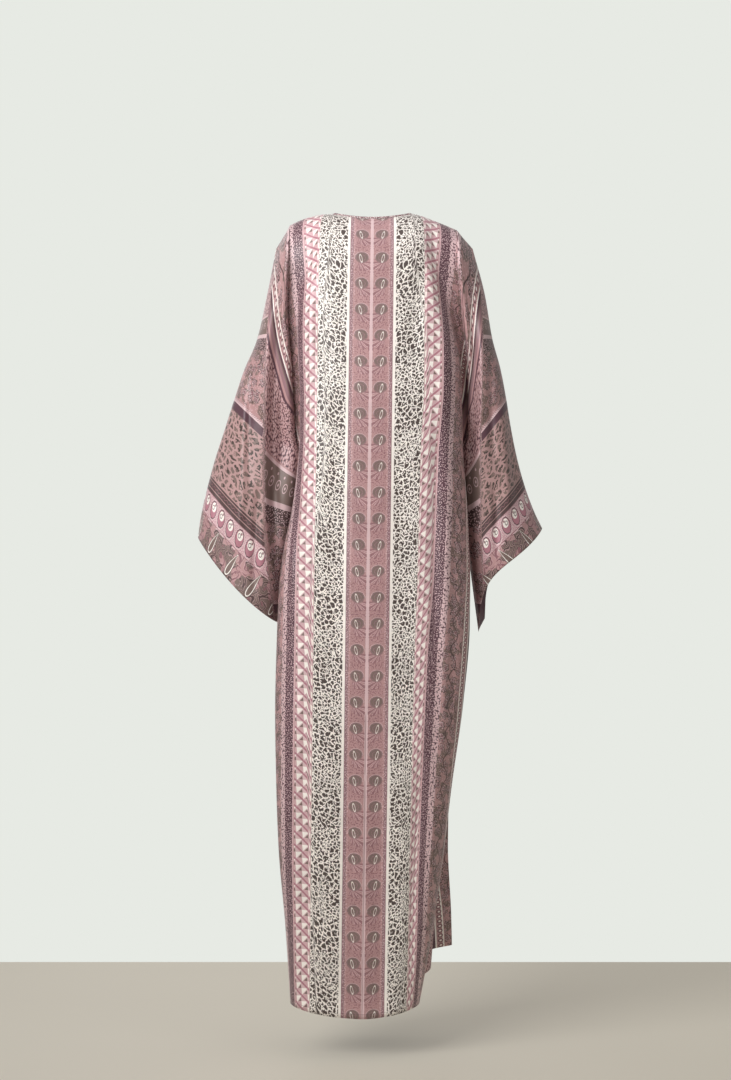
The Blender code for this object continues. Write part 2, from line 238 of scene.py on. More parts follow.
# Extra cloth gathered towards the back's right side seam, by the drop below the shoulder, and the
# distance from the centre back where it starts.
GATHERED_PRINT = ((0.35, 0.45, 0.70, 0.82, 1.25, 1.52), (0, 0.008, 0.015, 0.025, 0.045, 0.045))
GATHERED_FROM = 0.06

# The print's ground from the centre back outwards: where each stripe ends, in millimetres, and
# which of the cloth's colours it has.
STRIPES = (
    (2.6, "blush"), (31.6, "rose"), (39.5, "mauve"), (100, "cream"), (134.5, "pink"),
    (155, "plum"), (168, "blush"), (211, "rose"), (213, "cream"), (227, "rose"), (229, "cream"),
    (236, "plum"), (240, "taupe"), (250, "mauve"), (254, "rose"), (262, "plum"), (345, "rose"),
    (350, "blush"), (378, "taupe"), (383, "blush"), (405, "umber"), (497, "rose"),
    (498.5, "umber"), (503.5, "blush"), (520, "plum"), (655, "faded"), (680, "umber"),
    (722, "blush"), (779, "taupe"), (800, "umber"),
)
# Where each motif lies, in millimetres from the centre back, and how often it repeats downwards.
PLACES = {
    "paisley": (2.6, 31.6),
    "leopard": (45.5, 99.5),
    "pyramids": (100, 134.5),
    "small flowers": (168, 211),
    "chain": (213, 227),
    "large flowers": (405, 497),
    "soft spots": (521, 654),
    "ovals": (680, 722),
    "border": (722, 779),
}
PAISLEY_REPEAT = 48.6
LEOPARD_REPEAT = 123
PYRAMID_REPEAT = 24.3
PYRAMID_SLANT = 0.95
CHAIN_REPEAT = 9.4
RING_REPEAT = 15.5
OVAL_REPEAT = 27
DROP_REPEAT = 58
DROP_OUTLINES = ((10.5, "umber"), (9.0, "cream"), (6.6, "taupe"))  # half width and colour

BINDING_SIDES = 12
BINDING_DETAIL = 2  # times finer than the solids' own grid along the neck

# The studio. Floor from FLOOR_FAR behind the garment to FLOOR_NEAR behind the camera.
FLOOR_HALF_WIDTH = 6
FLOOR_FAR = -0.918
FLOOR_NEAR = 9
FLOOR_ROUGHNESS = 0.6
FLOOR_GLOW = 0.16
WORLD_STRENGTH = 0.30
WORLD_COLOUR = (1, 0.985, 0.96, 1)
FOCAL_PIXELS = 2367
PHOTO_HEIGHT = 1080
SENSOR_WIDTH = 36
CAMERA_PLACE = (0, 4.5, -0.618)
CAMERA_TURN = (np.pi / 2, 0, np.pi)
# Name, place, what it is aimed at, size, power and spread of each lamp.
LAMPS = (
    ("key", (1.6, 2.1, 1.0), (0, 0, 0.15), (2.2, 2.2), 31, 90),
    ("fill", (-2.6, 2.6, -0.2), (0, 0, -0.6), (2.0, 2.4), 4, 180),
    ("top", (0, 0.3, 2.2), (0, 0, 0), (2.0, 2.0), 10, 180),
    ("front_fill", (0.8, -3.2, 0.6), (0, 0, -0.6), (2.6, 2.6), 20, 180),
)


def smooth(knots, values, at, level_start=False):
    """Values between the knots, rounded but never past them. The last axis follows the knots."""
    knots = np.asarray(knots, float)
    values = np.asarray(values, float)
    at = np.clip(np.asarray(at, float), knots[0], knots[-1])
    rise = np.diff(values, axis=-1) / np.diff(knots)
    before, after = rise[..., :-1], rise[..., 1:]
    product = before * after
    slope = np.concatenate([rise[..., :1], np.zeros_like(before), rise[..., -1:]], axis=-1)
    np.divide(2 * product, before + after, out=slope[..., 1:-1], where=product > 0)
    if level_start:
        slope[..., 0] = 0
    cell = np.clip(np.searchsorted(knots, at) - 1, 0, len(knots) - 2)
    width = knots[cell + 1] - knots[cell]
    f = (at - knots[cell]) / width
    return (
        values[..., cell] * (1 + 2 * f) * (1 - f) ** 2
        + values[..., cell + 1] * (3 - 2 * f) * f**2
        + slope[..., cell] * width * f * (1 - f) ** 2
        - slope[..., cell + 1] * width * (1 - f) * f**2
    )


def reader(fields, rows):
    """A function that reads one named column of a table at any place along its first column."""
    columns = dict(zip(fields, np.array(rows).T / 1000))
    keys = columns[fields[0]]
    return lambda name, at: smooth(keys, columns[name], at)


body_at = reader(BODY_FIELDS, BODY)
arm_at = reader(ARM_FIELDS, ARM)
under_at = reader(UNDER_FIELDS, UNDER)
fold_at = reader(FOLD_FIELDS, FOLD)


def ease(f):
    f = np.clip(f, 0, 1)
    return f * f * (3 - 2 * f)


def centre_line(drop):
    return CENTRE_AT_NECK + CENTRE_LEAN * drop


def from_centre(side, points):
    return SIDES[side] * (points[..., 0] - centre_line(-points[..., 2]))


def seam_shift(face, drop):
    near = np.exp(-(((drop - UNDERARM_DROP) / UNDERARM_GAP_REACH) ** 2))
    return FACES[face] * (SEAM_GAP + (UNDERARM_GAP - SEAM_GAP) * near) / 2


def top_edge(face, side, across):
    """(out, drop, drop of the shoulder line) along the neck and shoulder, from the centre outwards."""
    shoulder_width = body_at(side + "_seam", 0) - NECK_HALF_WIDTH
    inner = np.clip(across / NECK_SPLIT, 0, 1)
    share = np.clip((across - NECK_SPLIT) / (1 - NECK_SPLIT), 0, 1)
    out = NECK_HALF_WIDTH * inner + shoulder_width * share
    shoulder_drop, curve = SHOULDER_LINE[side]
    shoulder = shoulder_drop * share**curve
    neck_drop, curve = NECK_DROP[face]
    return out, neck_drop * (1 - inner**curve) + shoulder, shoulder


def hem_drop(face, across):
    return smooth(HEM_PLACES, HEM[face], across, level_start=True)


def section(face, side, across, drop):
    """(out, depth) of the body cloth at one place across and any drops."""
    edge = body_at(side + ("_edge" if face == "back" else "_front"), drop)
    middle = body_at(face, drop)
    turn = body_at(face + "_turn", drop)
    seam = body_at(side + "_seam", drop)
    at_side = body_at(face + "_side", drop)
    fall = middle - turn
    tuck = body_at("tuck", drop) * TUCK_SHARE[face]
    straight = SIDE_STRAIGHT * (turn - at_side)
    sewn = ease((drop - UNDERARM_DROP + VALLEY_CLOSES) / VALLEY_CLOSES)
    last = seam - (1 - sewn) * SIDE_LAP * (seam - edge)
    flat = 1 - ease(drop / VALLEY_OPENS)
    wall = np.minimum(edge, seam) - tuck + flat * (seam - edge) / 2
    out = (0 * edge, *(share * edge for share in SECTION_OUT), edge, wall, last, seam)
    depth = (
        middle,
        *(middle - share * fall for share in SECTION_FALL),
        turn,
        (turn + at_side) / 2,
        at_side + straight,
        at_side,
    )
    return (
        smooth(SECTION_PLACES, np.stack(out, -1), across),
        smooth(SECTION_PLACES, np.stack(depth, -1), across, level_start=True),
    )


def waves(x, drop):
    """How far the front's folds push the cloth back."""
    total = 0
    for row in WAVES:
        fold = dict(zip(WAVE_FIELDS, row))
        start, end = WAVE_FADES
        fade = ease((drop - fold["start"]) / start) * ease((fold["end"] - drop) / end)
        total = total + fold["depth"] * fade * np.exp(-(((x - fold["across"]) / fold["width"]) ** 2))
    return total


def body_block(face, side, detail):
    """Points of half the body: rows from the shoulder to the hem, columns from the centre out."""
    columns = BODY_COLUMNS * detail
    upper = np.linspace(0, 1, ROWS_TO_UNDERARM * detail + 1) ** ROW_CROWDING
    lower = np.linspace(0, 1, ROWS_BELOW * detail + 1)[1:]
    points = np.zeros((len(upper) + len(lower), columns + 1, 3))
    for i in range(columns + 1):
        across = i / columns
        top_out, top_drop, shoulder = top_edge(face, side, across)
        hem = hem_drop(face, across)
        drop = np.concatenate([
            top_drop + (UNDERARM_DROP - top_drop) * upper,
            UNDERARM_DROP + (hem - UNDERARM_DROP) * lower,
        ])
        out, depth = section(face, side, across, drop)
        settle = ease((drop - top_drop) / SETTLE_DROP)
        roll = 1 - np.clip((drop - shoulder) / SHOULDER_ROUND, 0, 1)
        x = SIDES[side] * (top_out + (out - top_out) * settle)
        depth = depth * (1 - roll**SHOULDER_CURVE) ** (1 / SHOULDER_CURVE) + seam_shift(face, drop)
        if face == "front":
            depth = depth + waves(x, drop) * ease((1 - across) / WAVES_END)
        points[:, i] = np.stack([x + centre_line(drop), depth, -drop], -1)
    return points


def edge_points(face, side, table, along):
    """Points of a sleeve's long edge, on its own side of the seam."""
    drop = table(side + "_drop", along)
    x = SIDES[side] * table(side + "_out", along) + centre_line(drop)
    return np.stack([x, table("depth", along) + seam_shift(face, drop), -drop], -1)


def sleeve_block(face, side, inner, detail):
    """Points of a sleeve: rows from shoulder to cuff, columns from the body to the arm's top."""
    columns = SLEEVE_COLUMNS * detail
    joined = ROWS_TO_UNDERARM * detail
    along = np.linspace(0, 1, SLEEVE_ROWS * detail + 1)
    outer = edge_points(face, side, arm_at, along)
    past = np.linspace(0, 1, SLEEVE_ROWS * detail - joined + 1)[1:]
    under = edge_points(face, side, under_at, past)
    inner = np.concatenate([inner[: joined + 1], under])
    out = np.arange(columns + 1) / columns
    out = out - EDGE_CROWDING * np.sin(2 * np.pi * out) / (2 * np.pi)
    bow = (1 - np.abs(2 * out - 1) ** BULGE_CURVE) ** (1 / BULGE_CURVE)
    points = inner[:, None] + (outer - inner)[:, None] * out[None, :, None]
    points[..., 1] += FACES[face] * arm_at("bulge", along)[:, None] * bow
    start = CUFF_SAG_FROM[face]
    hang = np.clip((out - start) / (1 - start), 0, 1) ** CUFF_HANG
    if side == "right":
        bend = 4 * hang * (1 - hang) * np.sqrt(1 - out)
    else:
        bend = 4 * out * (1 - out)
    points[..., 2] -= CUFF_SAG[face, side] * (along**3)[:, None] * bend
    if face == "back":
        drop = -points[..., 2]
        inside = ease((fold_at(side + "_out", drop) - from_centre(side, points)) / FOLD_SOFT)
        points[..., 1] -= fold_at("step", drop) * inside * np.minimum(1, 4 * out)
    return points


def unit(vectors):
    return vectors / np.linalg.norm(vectors, axis=-1, keepdims=True)


def neck_route(detail):
    """The neck edge as a closed loop of points, and the way the cloth faces across each stretch."""
    count = round(BODY_COLUMNS * detail * NECK_SPLIT)
    edges, insides = [], []
    for face, side in (("back", "left"), ("front", "left"), ("front", "right"), ("back", "right")):
        rows = body_block(face, side, detail)[:2, : count + 1]
        if (face, side) in (("front", "left"), ("back", "right")):
            rows = rows[:, ::-1]
        edges.append(rows[0, :-1])
        insides.append((rows[1, :-1] + rows[1, 1:]) / 2)
    edge = np.concatenate(edges)
    ahead = unit(np.roll(edge, -1, 0) - edge)
    up = (edge + np.roll(edge, -1, 0)) / 2 - np.concatenate(insides)
    up = unit(up - ahead * (up * ahead).sum(1, keepdims=True))
    return edge, ahead, up


def creased(face, side, points, from_seam=False):
    """The cloth with its troughs and ridges, which fade out towards its seams."""
    out = from_centre(side, points)
    drop = -points[..., 2]
    push = 0
    for row in CREASES[face, side]:
        crease = dict(zip(CREASE_FIELDS, np.array(row) / 1000))
        run = crease["end_out"] - crease["start_out"], crease["end_drop"] - crease["start_drop"]
        length = np.hypot(*run)
        dx, dz = out - crease["start_out"], drop - crease["start_drop"]
        along = (dx * run[0] + dz * run[1]) / length**2
        inside = np.clip(along, 0, 1)
        beside = (dx * run[1] - dz * run[0]) / length - 4 * crease["bend"] * inside * (1 - inside)
        fade = ease(along / CREASE_FADE) * ease((1 - along) / CREASE_FADE)
        push = push + crease["height"] * fade * np.exp(-((beside / crease["width"]) ** 2))
    across = np.linspace(0, 1, points.shape[1])
    push = push * ease((1 - across) / SEAM_FADE)
    if from_seam:
        push = push * ease(across / SEAM_FADE)
    moved = points.copy()
    moved[..., 1] += FACES[face] * push
    return moved


def run_lengths(points, axis):
    """Distance over the cloth from the first row or column."""
    step = np.linalg.norm(np.diff(points, axis=axis), axis=-1)
    start = np.zeros_like(np.take(step, [0], axis))
    return np.concatenate([start, np.cumsum(step, axis)], axis)


def body_print(face, side, points):
    """Places on the printed cloth: distance from the centre, and distance down from the shoulder."""
    across = np.linspace(0, 1, points.shape[1])
    top, shoulder = top_edge(face, side, across)[1:]
    out = run_lengths(points, 1)
    if (face, side) == ("back", "right"):
        gathered = np.interp(-points[..., 2], *GATHERED_PRINT)
        out = out + gathered * ease((out - GATHERED_FROM) / GATHERED_FROM)
    return np.stack([out, run_lengths(points, 0) + (top - shoulder)], -1)


def sleeve_print(face, side, points, body, detail):
    """The same for a sleeve, whose print turns down along the fold over the arm."""
    joined = ROWS_TO_UNDERARM * detail
    arm = np.interp(-points[:, -1, 2], *ARM_PRINT)[:, None]
    over = run_lengths(points, 1)
    over = over[:, -1:] - over
    drop = -points[..., 2]
    if face == "back":
        out = from_centre(side, points)
        valley = out[:, :1]
        fold = fold_at(side + "_out", drop)
        share = np.clip((out - valley) / np.maximum(fold - valley, LEAST_VALLEY), 0, 1)
        beside = np.interp(drop, *VALLEY_PRINT)
        inside = beside + (np.interp(drop, *CREASE_PRINT) - beside) * share
        under = (out < fold) & (drop < FOLD[-1][0] / 1000)
        down = np.where(under, INNER_PRINT_SLANT * drop - out, over)
        return np.stack([np.where(under, inside, arm), down], -1)
    past = np.linspace(0, 1, len(points) - joined)[1:, None]
    edge = body[joined, -1]
    end = np.array([CUFF_PRINT, over[-1, 0]])
    inner = np.concatenate([body[: joined + 1, -1], edge + (end - edge) * past])
    share = np.linspace(0, 1, points.shape[1]) ** FRONT_PRINT_CURVE
    across = inner[:, :1] + (arm - inner[:, :1]) * share
    down = inner[:, 1:] * (1 - share)
    return np.stack([across, down], -1)


def from_finished_edge(points):
    """Distance from the turned-up edge at the block's last row."""
    lengths = run_lengths(points, 0)
    return lengths[-1] - lengths


def add_grid(mesh, places, points, prints):
    """Faces over a grid of points, each corner with its place on the print. Gives the vertices."""
    made = [[mesh.verts.new(point) for point in row] for row in points]
    for r in range(len(made) - 1):
        for c in range(len(made[0]) - 1):
            corners = ((r, c), (r, c + 1), (r + 1, c + 1), (r + 1, c))
            face = mesh.faces.new([made[i][j] for i, j in corners])
            face.smooth = True
            for loop, (i, j) in zip(face.loops, corners):
                loop[places].uv = prints[i, j]
    return made


def add_sheet(name, blocks, thickness, looks):
    """One sheet from grids that share edges, with its print places and hem distances."""
    mesh = bmesh.new()
    places = mesh.loops.layers.uv.new("cloth")
    hem = mesh.verts.layers.float.new("from_hem")
    for points, prints, edges in blocks:
        made = add_grid(mesh, places, points, prints)
        for row, distances in zip(made, edges):
            for vertex, distance in zip(row, distances):
                vertex[hem] = distance
    bmesh.ops.remove_doubles(mesh, verts=mesh.verts, dist=SAME_POINT)
    bmesh.ops.recalc_face_normals(mesh, faces=mesh.faces)
    mesh.faces.ensure_lookup_table()
    facing = FACES[name.split("_")[0]]
    outward = facing * sum(face.normal.y * face.calc_area() for face in mesh.faces)
    if outward < 0:
        bmesh.ops.reverse_faces(mesh, faces=mesh.faces)
    piece = add_piece(name, mesh, looks)
    wall = piece.modifiers.new("wall", "SOLIDIFY")
    wall.thickness = thickness
    wall.offset = 0
    wall.material_offset = 1
    return piece


def add_piece(name, mesh, looks):
    data = bpy.data.meshes.new(name)
    mesh.to_mesh(data)
    mesh.free()
    piece = bpy.data.objects.new(name, data)
    for look in looks:
        data.materials.append(look)
    bpy.context.scene.collection.objects.link(piece)
    return piece


class Term:
    """A number that varies over the cloth, joined to others by plain sums."""

    def __init__(self, tree, socket):
        self.tree = tree
        self.socket = socket

    def made(self, operation, *others, clamped=False):
        node = self.tree.nodes.new("ShaderNodeMath")
        node.operation = operation
        node.use_clamp = clamped
        for entry, value in zip(node.inputs, (self, *others)):
            if isinstance(value, Term):
                self.tree.links.new(value.socket, entry)
            else:
                entry.default_value = value
        return Term(self.tree, node.outputs[0])

    def __add__(self, other):
        return self.made("ADD", other)

    def __sub__(self, other):
        return self.made("SUBTRACT", other)

    def __mul__(self, other):
        return self.made("MULTIPLY", other)

    def minus_from(self, number):
        return self.made("MULTIPLY_ADD", -1, number)

    def scaled(self, rate, start=0):
        return self.made("MULTIPLY_ADD", rate, start)

    def within(self, low, high):
        return self.made("COMPARE", (low + high) / 2, (high - low) / 2)

    def above(self, limit):
        return self.made("GREATER_THAN", limit)

    def below(self, limit):
        return self.made("LESS_THAN", limit)

    def cycle(self, period):
        return self.made("WRAP", period, 0)

    def swing(self, period):
        """A wave from -1 to 1 that repeats over the period."""
        return self.scaled(2 * np.pi / period).made("SINE")

    def either(self, other):
        return self.made("MAXIMUM", other)

    def clamped(self, rate, start=0):
        return self.made("MULTIPLY_ADD", rate, start, clamped=True)


def oval(s, t, middle_s, middle_t, half_s, half_t):
    """Squared distance from an oval's middle, 1 on its edge."""
    a = s.scaled(1 / half_s, -middle_s / half_s)
    b = t.scaled(1 / half_t, -middle_t / half_t)
    return b.made("MULTIPLY_ADD", b, a * a)


def fill(node, values):
    """Gives each named input its constant, or links it where the value is another node's output."""
    for name, value in values.items():
        value = getattr(value, "socket", value)
        if isinstance(value, bpy.types.NodeSocket):
            node.id_data.links.new(value, node.inputs[name])
        else:
            node.inputs[name].default_value = value
    return node


def add_node(tree, kind, values):
    return fill(tree.nodes.new("ShaderNode" + kind), values)


def cell_node(s, t, size, randomness):
    """A texture of scattered cells of about this size, and the place that it reads."""
    place = add_node(s.tree, "CombineXYZ", {"X": s, "Y": t}).outputs[0]
    node = s.tree.nodes.new("ShaderNodeTexVoronoi")
    node.voronoi_dimensions = "2D"
    fill(node, {"Vector": place, "Scale": 1 / size, "Randomness": randomness})
    return node, place


def cells(s, t, size, feature="F1"):
    """Distance from the nearest cell's middle, or from the nearest edge between two cells."""
    node = cell_node(s, t, size, 1)[0]
    node.feature = feature
    return Term(s.tree, node.outputs["Distance"])


def noise(s, t, size, detail=2.0):
    place = add_node(s.tree, "CombineXYZ", {"X": s, "Y": t}).outputs[0]
    node = s.tree.nodes.new("ShaderNodeTexNoise")
    node.noise_dimensions = "2D"
    fill(node, {"Vector": place, "Scale": 1 / size, "Detail": detail})
    return Term(s.tree, node.outputs["Fac"])


def bent(s, t, size, reach, detail=2.0):
    """Both distances pushed about softly, by up to half the reach."""
    push = reach, -reach / 2
    return s + noise(s, t, size, detail).scaled(*push), t + noise(t, s, size, detail).scaled(*push)


def whorls(s, t, size, randomness=0.8):
    """Distance and direction from the nearest of many scattered middles."""
    tree = s.tree
    node, place = cell_node(s, t, size, randomness)
    away = tree.nodes.new("ShaderNodeVectorMath")
    away.operation = "SUBTRACT"
    fill(away, {0: place, 1: node.outputs["Position"]})
    parts = add_node(tree, "SeparateXYZ", {0: away.outputs[0]})
    across, down = (Term(tree, parts.outputs[axis]) for axis in ("X", "Y"))
    return oval(across, down, 0, 0, 1, 1).made("SQRT"), down.made("ARCTAN2", across)


class Paint:
    """Colour built up in layers from a set of named colours."""

    def __init__(self, tree, socket, colours):
        self.tree = tree
        self.socket = socket
        self.colours = colours

    def over(self, colour, share):
        """The same with a named colour or another paint laid on, where share is 1."""
        node = self.tree.nodes.new("ShaderNodeMix")
        node.data_type = "RGBA"
        laid_on = colour if isinstance(colour, Paint) else (*self.colours[colour], 1)
        fill(node, {0: share, 6: self.socket, 7: laid_on})
        return Paint(self.tree, node.outputs[2], self.colours)

    def layers(self, *rows):
        """The same with several layers, each a colour and its share, laid on in turn."""
        paint = self
        for colour, share in rows:
            paint = paint.over(colour, share)
        return paint


def ground(s, colours):
    """The plain stripes of the print."""
    tree = s.tree
    full = STRIPES[-1][0]
    ramp = add_node(tree, "ValToRGB", {"Fac": s.scaled(1 / full)})
    ramp.color_ramp.interpolation = "CONSTANT"
    elements = ramp.color_ramp.elements
    start = 0
    for n, (end, name) in enumerate(STRIPES):
        stop = elements[n] if n < 2 else elements.new(1)
        stop.position = start / full
        stop.color = (*colours[name], 1)
        start = end
    return Paint(tree, ramp.outputs["Color"], colours)


def paisley(paint, s, t):
    """Rose band with a domed head, an upright pale loop and a fan of leaves in each repeat."""
    v = t.cycle(PAISLEY_REPEAT)
    bent_s = s + noise(s, t, 6).scaled(3, -1.5)
    fleck = noise(s, t, 2.6).above(0.57)
    fan_s, fan_t = bent_s.minus_from(23), v - 20
    spokes = fan_t.made("ARCTAN2", fan_s).scaled(13, 0.6).made("SINE")
    reach = oval(fan_s, fan_t, 10, 7, 14, 11)
    dome = oval(bent_s, v, 18.5, 12.5, 12.6, 11)
    head = dome.below(1) * v.below(24)
    curls = (dome.made("SQRT").swing(0.40) + fleck.scaled(0.9)).above(0.85) * head
    loop = oval(s + v.scaled(0.22, -3.1), v, 20.5, 14, 2.6, 8.4)
    motif = paint.layers(
        ("leaf", fleck * v.above(30).scaled(0.7, 0.3)),
        ("leaf", spokes.above(0.15) * reach.below(1) * fan_t.above(0).scaled(0.8)),
        ("blush", spokes.within(-0.5, -0.1) * reach.below(0.8) * fan_t.above(1)),
        ("taupe", head * v.clamped(-1 / 18, 1.9)),
        ("mauve", curls),
        ("blush", dome.within(1, 1.13) * v.below(14)),
        ("cream", loop.within(0.5, 1).scaled(0.85)),
    )
    return paint.over(motif, s.within(*PLACES["paisley"]))


def leopard(paint, s, t):
    """Taupe spots on cream, in turn coarse and fine down the cloth."""
    bent_s, bent_t = bent(s, t, 8, 6)
    coarse = cells(bent_s, bent_t, 9.6, "DISTANCE_TO_EDGE").above(0.095)
    fine = cells(bent_s, bent_t, 6.4, "DISTANCE_TO_EDGE").above(0.125)
    which = (t.swing(LEOPARD_REPEAT) + noise(s, t, 22).scaled(3.2, -1.6)).above(-0.15)
    broken = noise(bent_s, bent_t, 4.4, 1.0).above(0.38)
    spots = (coarse * which).either(fine * which.minus_from(1)) * broken
    return paint.over("spot", spots * s.within(*PLACES["leopard"]))


def pyramids(paint, s, t):
    """Slanting rose bars with rows of small shaded pyramids between them."""
    start, end = PLACES["pyramids"]
    bar = (t + s.scaled(PYRAMID_SLANT)).cycle(PYRAMID_REPEAT)
    up = bar.scaled(1 / 19.3, -5.0 / 19.3 - 0.5)
    along = (t - s.scaled(PYRAMID_SLANT)).cycle(PYRAMID_REPEAT).scaled(-1 / PYRAMID_REPEAT, 0.5)
    side = along.made("ABSOLUTE")
    height = up.made("ABSOLUTE")
    tiles = paint.layers(
        ("blush", s.above(0)),
        ("pink", (up - side).above(-0.05)),
        ("cream", (along + height).below(0.06)),
        ("taupe", (along - height).above(0.08) * along.below(0.40)),
        ("bar", bar.below(5.6)),
        ("blush", bar.within(0, 1).either(along.above(0.475))),
        ("rose", s.within(start, start + 1).either(s.within(end - 1.1, end))),
    )
    return paint.over(tiles, s.within(start, end))


def speckles(paint, s, t):
    """Fine pale dots on the narrow dark stripes and fine mixed ones on the wide pink stripe."""
    near = cells(s, t, 3.4)
    dark = s.within(31.6, 39.5).either(s.within(134.5, 168)).either(s.within(383, 405))
    wide = s.within(262, 345)
    return paint.layers(
        ("blush", near.below(0.25) * dark),
        ("blush", near.below(0.26) * wide),
        ("plum", near.above(0.55) * wide.either(s.within(152, 168))),
    )


def blossoms(paint, s, t):
    """Mottled taupe and rose flowers on the two floral stripes."""
    reach, turn = whorls(*bent(s, t, 9, 9), 17)
    petals = reach - turn.scaled(6).made("SINE").scaled(1.5)
    veins = (turn + reach.scaled(0.8)).made("SINE")
    small = s.within(*PLACES["small flowers"])
    both = small.either(s.within(*PLACES["large flowers"]))
    stem = (s.scaled(1, -189) - t.swing(52).scaled(7)).made("ABSOLUTE").below(1.1)
    return paint.layers(
        ("taupe", noise(s, t, 20).above(0.53) * both),
        ("rose", veins.within(0.2, 0.5) * both),
        ("umber", petals.below(6.2) * both),
        ("blush", petals.within(3.0, 4.2) * both),
        ("leaf", petals.below(2.0) * both),
        ("blush", cells(s, t, 5.5).below(0.13) * both),
        ("umber", stem * small),
    )


def small_chains(paint, s, t):
    """Chains of small ovals and rings, the dashed line and the fine lines of the border."""
    chain = s.within(*PLACES["chain"])
    ring = oval(s, t.cycle(CHAIN_REPEAT), 220, CHAIN_REPEAT / 2, 5.4, 3.6)
    circle = oval(s, t.cycle(RING_REPEAT), 364, 7.7, 5.2, 5.2)
    between = oval(s, (t + 7.7).cycle(RING_REPEAT), 355, 7.7, 1.4, 1.4)
    return paint.layers(
        ("plum", ring.within(0.45, 1) * chain),
        ("cream", ring.below(0.16) * chain),
        ("blush", circle.within(0.55, 0.85).either(circle.below(0.08))),
        ("blush", between.below(1)),
        ("mauve", (t + s).cycle(4.2).below(1.4) * s.within(499, 503.5)),
        ("faded", s.within(660, 661.5).either(s.within(672, 673.5))),
        ("leaf", (s - t.swing(11).scaled(1.4)).within(666, 667.4)),
    )


def faded_spots(paint, s, t):
    """Large soft spots, some of them ringed, on the outer pink stripe."""
    bent_s, bent_t = bent(s, t, 15, 11)
    edge = cells(bent_s, bent_t.scaled(0.62), 11.5, "DISTANCE_TO_EDGE")
    spots = edge.above(0.15) * noise(s, t, 7).above(0.40) * s.within(*PLACES["soft spots"])
    tone = noise(s, t, 16).above(0.53)
    return paint.layers(("spot", spots * tone), ("taupe", spots * tone.minus_from(1)))


def ovals(paint, s, t):
    """A plain chain of upright scalloped ovals, pale above and rose below, between two lines."""
    start, end = PLACES["ovals"]
    v = t.cycle(OVAL_REPEAT)
    middle = OVAL_REPEAT / 2
    turn = (v - middle).made("ARCTAN2", s - 701)
    outer = oval(s, v, 701, middle, 16.5, 10.6) + turn.scaled(14).made("SINE").scaled(0.06)
    band = s.within(start, end)
    return paint.layers(
        ("bar", cells(s, t, 3.6, "DISTANCE_TO_EDGE").below(0.10) * band),
        ("blush", outer.below(1.35) * band),
        ("plum", outer.within(0.78, 1) * band),
        ("bar", outer.below(0.78) * band),
        ("cream", oval(s, v, 696, middle, 8.6, 6.8).below(1)),
        ("plum", oval(s, v, 697, 11.8, 4.4, 3.4).within(0.45, 1)),
        ("leaf", oval(s, v, 691.5, 15.8, 2.4, 1.7).below(1)),
        ("leaf", s.within(start, start + 1.2).either(s.within(end - 1.2, end))),
    )


def border(paint, s, t):
    """The outer edge: curling leaves on taupe, with outlined pale drops set in a plain row."""
    band = s.within(*PLACES["border"])
    bent_s, bent_t = bent(s, t, 20, 16, 1.0)
    reach, turn = whorls(bent_s, bent_t.scaled(0.8), 22, 0.7)
    curl = (turn.scaled(2) + reach.scaled(0.75)).made("SINE")
    warm = noise(s, t, 30).above(0.53)
    motif = paint.layers(
        ("rose", warm),
        ("leaf", curl.above(0.55) * warm),
        ("umber", curl.above(0.72) * warm.minus_from(1)),
        ("pink", curl.within(0.28, 0.50)),
        ("blush", curl.within(-0.02, 0.07)),
        ("leaf", reach.below(2.2)),
    )
    paint = paint.over(motif, band)
    lean = t.cycle(DROP_REPEAT) + s.scaled(0.42, -0.42 * 752)
    taper = s.scaled(1 / 56, 0.62 - 752 / 56)
    for width, colour in DROP_OUTLINES:
        beside = lean.scaled(1, -DROP_REPEAT / 2).made("DIVIDE", taper.scaled(width))
        ahead = s.scaled(1 / (15 + width), -750 / (15 + width))
        drop = beside.made("MULTIPLY_ADD", beside, ahead * ahead)
        paint = paint.over(colour, drop.below(1) * band)
    return paint


def new_look(name):
    look = bpy.data.materials.new(name)
    look.use_nodes = True
    shader = look.node_tree.nodes["Principled BSDF"]
    return look, look.node_tree, shader


def cloth_places(tree):
    """Distances over the cloth in millimetres, from the centre and down from the shoulder."""
    places = tree.nodes.new("ShaderNodeUVMap")
    places.uv_map = "cloth"
    parts = add_node(tree, "SeparateXYZ", {0: places.outputs["UV"]})
    return [Term(tree, parts.outputs[axis]).scaled(1000) for axis in ("X", "Y")]


def add_bump(tree, shader, height, strength, distance):
    values = {"Strength": strength, "Distance": distance, "Height": height}
    fill(shader, {"Normal": add_node(tree, "Bump", values).outputs["Normal"]})


def satin_finish(tree, shader, s, t, roughness, sheen):
    """Soft satin shine, a fine weave, faint rumples and stitching along the turned edges."""
    distance = tree.nodes.new("ShaderNodeAttribute")
    distance.attribute_name = "from_hem"
    edge = Term(tree, distance.outputs["Fac"]).scaled(1000)
    stitch = edge.within(8.2, 9.0) * t.cycle(2.6).below(1.8)
    turned = edge.made("SMOOTH_MIN", 9.5, 1.5).scaled(-0.05, 0.5)
    weave = t.swing(0.9).scaled(0.03) + noise(s, t, 1.3).scaled(0.10)
    rumples = noise(s, t.scaled(0.35), 17, 3.0).scaled(1.1)
    height = weave + rumples + turned - stitch.scaled(0.35)
    add_bump(tree, shader, height, 0.55, 0.0012)
    fill(shader, {
        "Roughness": noise(s, t, 30, 3.0).scaled(0.14, roughness - 0.07),
        "Sheen Weight": sheen,
        "Sheen Roughness": 0.35,
        "Sheen Tint": (0.95, 0.86, 0.88, 1),
        "Specular IOR Level": 0.5,
    })
    return stitch


